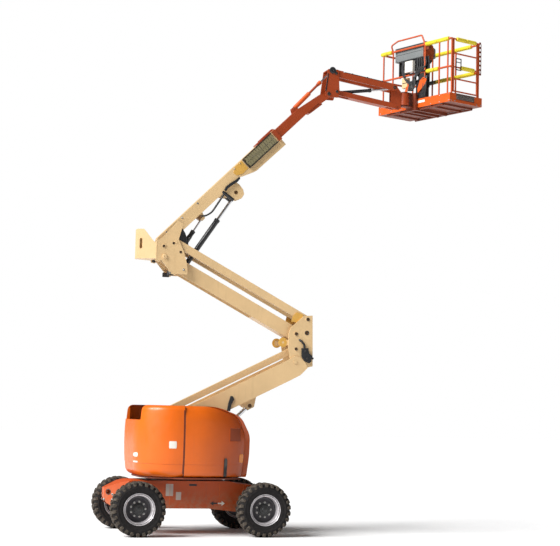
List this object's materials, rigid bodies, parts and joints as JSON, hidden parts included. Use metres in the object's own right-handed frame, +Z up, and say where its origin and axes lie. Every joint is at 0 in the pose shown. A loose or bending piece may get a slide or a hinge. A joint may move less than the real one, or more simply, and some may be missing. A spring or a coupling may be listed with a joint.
{
  "type": "articulating boom lift",
  "caption": "Wheeled aerial work platform: slewing turntable, folding two-arm riser, telescopic boom, short jib and a turning railed platform, in a raised working pose.",
  "frame": {"origin": "Middle of the overall box in plan, on the ground under the tyres, in the raised pose shown.", "axes": "+X runs along the booms from the tail towards the platform, +Y is the machine's left side when looking from the tail to the platform, +Z is up."},
  "size_m": [6.1574, 2.1664, 8.409],
  "materials": {
    "orange_paint": "semi-gloss orange paint",
    "orange_hood": "gloss orange moulded cover",
    "counterweight": "painted casting",
    "cream_paint": "semi-gloss cream paint",
    "black_paint": "satin black paint",
    "engine": "bare casting",
    "rod_chrome": "hard chrome",
    "carrier_plastic": "grey-olive plastic",
    "rim_paint": "silver paint",
    "tyre": "worn rubber",
    "floor_metal": "painted tread plate",
    "pad_foam": "yellow foam sleeve",
    "console_grey": "moulded grey"
  },
  "bodies": {
    "chassis": {"chassis_frame": "orange_paint", "slew_bearing": "engine", "steer_axle": "black_paint", "drive_axle": "black_paint"},
    "knuckle_left": {"steer_knuckle_left": "black_paint"},
    "knuckle_right": {"steer_knuckle_right": "black_paint"},
    "tie_rod": {"tie_rod": "black_paint"},
    "wheel_front_left": {"rim_front_left": "rim_paint", "tyre_front_left": "tyre"},
    "wheel_front_right": {"rim_front_right": "rim_paint", "tyre_front_right": "tyre"},
    "wheel_rear_left": {"rim_rear_left": "rim_paint", "tyre_rear_left": "tyre"},
    "wheel_rear_right": {"rim_rear_right": "rim_paint", "tyre_rear_right": "tyre"},
    "turntable": {"turntable_frame": "orange_paint", "counterweight": "counterweight", "engine_block": "engine"},
    "hood_left": {"hood_left": "orange_hood"},
    "hood_right": {"hood_right": "orange_hood"},
    "lower_arm": {"lower_arm": "cream_paint"},
    "lower_link": {"lower_link": "cream_paint"},
    "tower_knuckle": {"tower_knuckle": "cream_paint"},
    "mid_arm": {"mid_arm": "cream_paint"},
    "mid_link": {"mid_link": "cream_paint"},
    "upright": {"upright": "cream_paint"},
    "tower_cylinder_barrel": {"tower_cylinder_barrel": "black_paint"},
    "tower_cylinder_rod": {"tower_cylinder_rod": "rod_chrome"},
    "main_boom": {"main_boom": "cream_paint", "cable_carrier": "carrier_plastic"},
    "lift_cylinder_barrel": {"lift_cylinder_barrel": "black_paint"},
    "lift_cylinder_rod": {"lift_cylinder_rod": "rod_chrome"},
    "master_cylinder_barrel": {"master_cylinder_barrel": "black_paint"},
    "master_cylinder_rod": {"master_cylinder_rod": "rod_chrome"},
    "fly_boom": {"fly_boom": "orange_paint"},
    "slave_cylinder_barrel": {"slave_cylinder_barrel": "orange_paint"},
    "slave_cylinder_rod": {"slave_cylinder_rod": "rod_chrome"},
    "jib_bracket": {"jib_bracket": "orange_paint"},
    "jib_upper_arm": {"jib_upper_arm": "orange_paint"},
    "jib_lower_arm": {"jib_lower_arm": "orange_paint"},
    "jib_cylinder_barrel": {"jib_cylinder_barrel": "black_paint"},
    "jib_cylinder_rod": {"jib_cylinder_rod": "rod_chrome"},
    "platform_support": {"platform_support": "orange_paint"},
    "platform": {"platform_floor": "floor_metal", "toe_boards": "orange_paint", "platform_rails": "orange_paint", "rail_pads": "pad_foam", "control_console": "console_grey"},
    "platform_gate": {"platform_gate": "orange_paint"}
  },
  "joints": [
    {"name": "wheel_front_left_spin", "type": "hinge", "parent": "chassis", "child": "wheel_front_left", "pos_m": [-0.67876, 0.74879, 0.42], "axis": [0, 1, 0], "continuous": true},
    {"name": "wheel_front_right_spin", "type": "hinge", "parent": "chassis", "child": "wheel_front_right", "pos_m": [-0.67876, -0.93521, 0.42], "axis": [0, 1, 0], "continuous": true},
    {"name": "wheel_rear_left_spin", "type": "hinge", "parent": "knuckle_left", "child": "wheel_rear_left", "pos_m": [-2.65876, 0.74879, 0.42], "axis": [0, 1, 0], "continuous": true},
    {"name": "wheel_rear_right_spin", "type": "hinge", "parent": "knuckle_right", "child": "wheel_rear_right", "pos_m": [-2.65876, -0.93521, 0.42], "axis": [0, 1, 0], "continuous": true},
    {"name": "steer_left", "type": "hinge", "parent": "chassis", "child": "knuckle_left", "pos_m": [-2.65876, 0.53679, 0.42], "axis": [0, 0, 1], "range_deg": [-35, 35]},
    {"name": "steer_right", "type": "hinge", "parent": "chassis", "child": "knuckle_right", "pos_m": [-2.65876, -0.72321, 0.42], "axis": [0, 0, 1], "range_deg": [-36, 36]},
    {"name": "tie_rod_pivot", "type": "hinge", "parent": "knuckle_left", "child": "tie_rod", "pos_m": [-2.79876, 0.53679, 0.306], "axis": [0, 0, 1], "range_deg": [-36, 36]},
    {"name": "slew", "type": "hinge", "parent": "chassis", "child": "turntable", "pos_m": [-1.66876, -0.09321, 0.875], "axis": [0, 0, 1], "range_deg": [-177.5, 177.5]},
    {"name": "hood_left_lift", "type": "hinge", "parent": "turntable", "child": "hood_left", "pos_m": [-1.66876, 0.24179, 2], "axis": [1, 0, 0], "range_deg": [0, 75]},
    {"name": "hood_right_lift", "type": "hinge", "parent": "turntable", "child": "hood_right", "pos_m": [-1.66876, -0.42821, 2], "axis": [-1, 0, 0], "range_deg": [0, 75]},
    {"name": "tower_lift", "type": "hinge", "parent": "turntable", "child": "lower_arm", "pos_m": [-2.29375, -0.09321, 1.609], "axis": [0, -1, 0], "range_deg": [-26, 43]},
    {"name": "lower_link_pivot", "type": "hinge", "parent": "turntable", "child": "lower_link", "pos_m": [-2.28076, -0.09321, 1.815], "axis": [0, -1, 0], "range_deg": [-27, 44]},
    {"name": "knuckle_level", "type": "hinge", "parent": "lower_arm", "child": "tower_knuckle", "pos_m": [-0.02276, -0.09321, 2.746], "axis": [0, -1, 0], "range_deg": [-44, 27]},
    {"name": "mid_arm_lift", "type": "hinge", "parent": "tower_knuckle", "child": "mid_arm", "pos_m": [-0.01576, -0.09321, 3.207], "axis": [0, 1, 0], "range_deg": [-27, 44]},
    {"name": "mid_link_pivot", "type": "hinge", "parent": "tower_knuckle", "child": "mid_link", "pos_m": [0.16224, -0.09321, 3.449], "axis": [0, 1, 0], "range_deg": [-27, 44]},
    {"name": "upright_level", "type": "hinge", "parent": "mid_arm", "child": "upright", "pos_m": [-2.22876, -0.09321, 4.358], "axis": [0, 1, 0], "range_deg": [-44, 27]},
    {"name": "tower_cylinder_pivot", "type": "hinge", "parent": "turntable", "child": "tower_cylinder_barrel", "pos_m": [-1.85876, -0.09321, 0.96], "axis": [0, -1, 0], "range_deg": [-23.62, 38.41]},
    {"name": "tower_cylinder_stroke", "type": "slide", "parent": "tower_cylinder_barrel", "child": "tower_cylinder_rod", "axis": [0.7277, 0, 0.6859], "range_m": [-0.3289, 0.5414]},
    {"name": "main_lift", "type": "hinge", "parent": "upright", "child": "main_boom", "pos_m": [-2.24476, -0.09321, 4.535], "axis": [0, -1, 0], "range_deg": [-38, 28]},
    {"name": "lift_cylinder_pivot", "type": "hinge", "parent": "upright", "child": "lift_cylinder_barrel", "pos_m": [-1.88376, -0.09321, 4.19], "axis": [0, -1, 0], "range_deg": [-38.24, 28.44]},
    {"name": "lift_cylinder_stroke", "type": "slide", "parent": "lift_cylinder_barrel", "child": "lift_cylinder_rod", "axis": [0.554, 0, 0.8325], "range_m": [-0.319, 0.2361]},
    {"name": "master_cylinder_pivot", "type": "hinge", "parent": "upright", "child": "master_cylinder_barrel", "pos_m": [-1.96176, -0.09321, 4.443], "axis": [0, -1, 0], "range_deg": [-45.08, 33.48]},
    {"name": "master_cylinder_stroke", "type": "slide", "parent": "master_cylinder_barrel", "child": "master_cylinder_rod", "axis": [0.534, 0, 0.8455], "range_m": [-0.1685, 0.1252]},
    {"name": "telescope", "type": "slide", "parent": "main_boom", "child": "fly_boom", "axis": [0.7071, 0, 0.7071], "range_m": [-0.43, 1.8]},
    {"name": "jib_bracket_level", "type": "hinge", "parent": "fly_boom", "child": "jib_bracket", "pos_m": [0.48124, -0.09321, 7.22], "axis": [0, -1, 0], "range_deg": [-29, 39]},
    {"name": "slave_cylinder_pivot", "type": "hinge", "parent": "fly_boom", "child": "slave_cylinder_barrel", "pos_m": [-0.09656, -0.09321, 6.93209], "axis": [0, -1, 0], "range_deg": [-9.68, 12.78]},
    {"name": "slave_cylinder_stroke", "type": "slide", "parent": "slave_cylinder_barrel", "child": "slave_cylinder_rod", "axis": [0.6786, 0, 0.7345], "range_m": [-0.1678, 0.1247]},
    {"name": "jib_lift", "type": "hinge", "parent": "jib_bracket", "child": "jib_upper_arm", "pos_m": [0.60124, -0.09321, 7.575], "axis": [0, -1, 0], "range_deg": [-50, 94]},
    {"name": "jib_lower_pivot", "type": "hinge", "parent": "jib_bracket", "child": "jib_lower_arm", "pos_m": [0.62124, -0.09321, 7.27], "axis": [0, -1, 0], "range_deg": [-51, 95]},
    {"name": "platform_level", "type": "hinge", "parent": "jib_upper_arm", "child": "platform_support", "pos_m": [1.65093, -0.09321, 7.42748], "axis": [0, -1, 0], "range_deg": [-95, 51]},
    {"name": "jib_cylinder_pivot", "type": "hinge", "parent": "jib_bracket", "child": "jib_cylinder_barrel", "pos_m": [0.62124, -0.09321, 7.27], "axis": [0, -1, 0], "range_deg": [-46, 85.6]},
    {"name": "jib_cylinder_stroke", "type": "slide", "parent": "jib_cylinder_barrel", "child": "jib_cylinder_rod", "axis": [0.9885, 0, 0.1512], "range_m": [-0.2003, 0.3731]},
    {"name": "platform_rotate", "type": "hinge", "parent": "platform_support", "child": "platform", "pos_m": [1.86524, -0.09321, 7.14], "axis": [0, 0, 1], "range_deg": [-111, 69]},
    {"name": "gate_swing", "type": "hinge", "parent": "platform", "child": "platform_gate", "pos_m": [2.97519, -0.59048, 7.74], "axis": [0, 0, -1], "range_deg": [0, 90]}
  ],
  "couplings": [
    {"joint": "steer_right", "follows": "steer_left", "ratio": 1},
    {"joint": "tie_rod_pivot", "follows": "steer_left", "ratio": -1},
    {"joint": "lower_link_pivot", "follows": "tower_lift", "ratio": 1},
    {"joint": "knuckle_level", "follows": "tower_lift", "ratio": -1},
    {"joint": "mid_arm_lift", "follows": "tower_lift", "ratio": 1},
    {"joint": "mid_link_pivot", "follows": "tower_lift", "ratio": 1},
    {"joint": "upright_level", "follows": "tower_lift", "ratio": -1},
    {"joint": "tower_cylinder_pivot", "follows": "tower_lift", "ratio": 0.87},
    {"joint": "tower_cylinder_stroke", "follows": "tower_lift", "m_per_rad": 0.716},
    {"joint": "lift_cylinder_pivot", "follows": "main_lift", "ratio": 0.98},
    {"joint": "lift_cylinder_stroke", "follows": "main_lift", "m_per_rad": 0.475},
    {"joint": "master_cylinder_pivot", "follows": "main_lift", "ratio": 1.16},
    {"joint": "master_cylinder_stroke", "follows": "main_lift", "m_per_rad": 0.248},
    {"joint": "jib_bracket_level", "follows": "main_lift", "ratio": -1},
    {"joint": "slave_cylinder_pivot", "follows": "main_lift", "ratio": -0.31},
    {"joint": "slave_cylinder_stroke", "follows": "main_lift", "m_per_rad": 0.247},
    {"joint": "jib_lower_pivot", "follows": "jib_lift", "ratio": 1},
    {"joint": "platform_level", "follows": "jib_lift", "ratio": -1},
    {"joint": "jib_cylinder_pivot", "follows": "jib_lift", "ratio": 0.9},
    {"joint": "jib_cylinder_stroke", "follows": "jib_lift", "m_per_rad": 0.225}
  ]
}
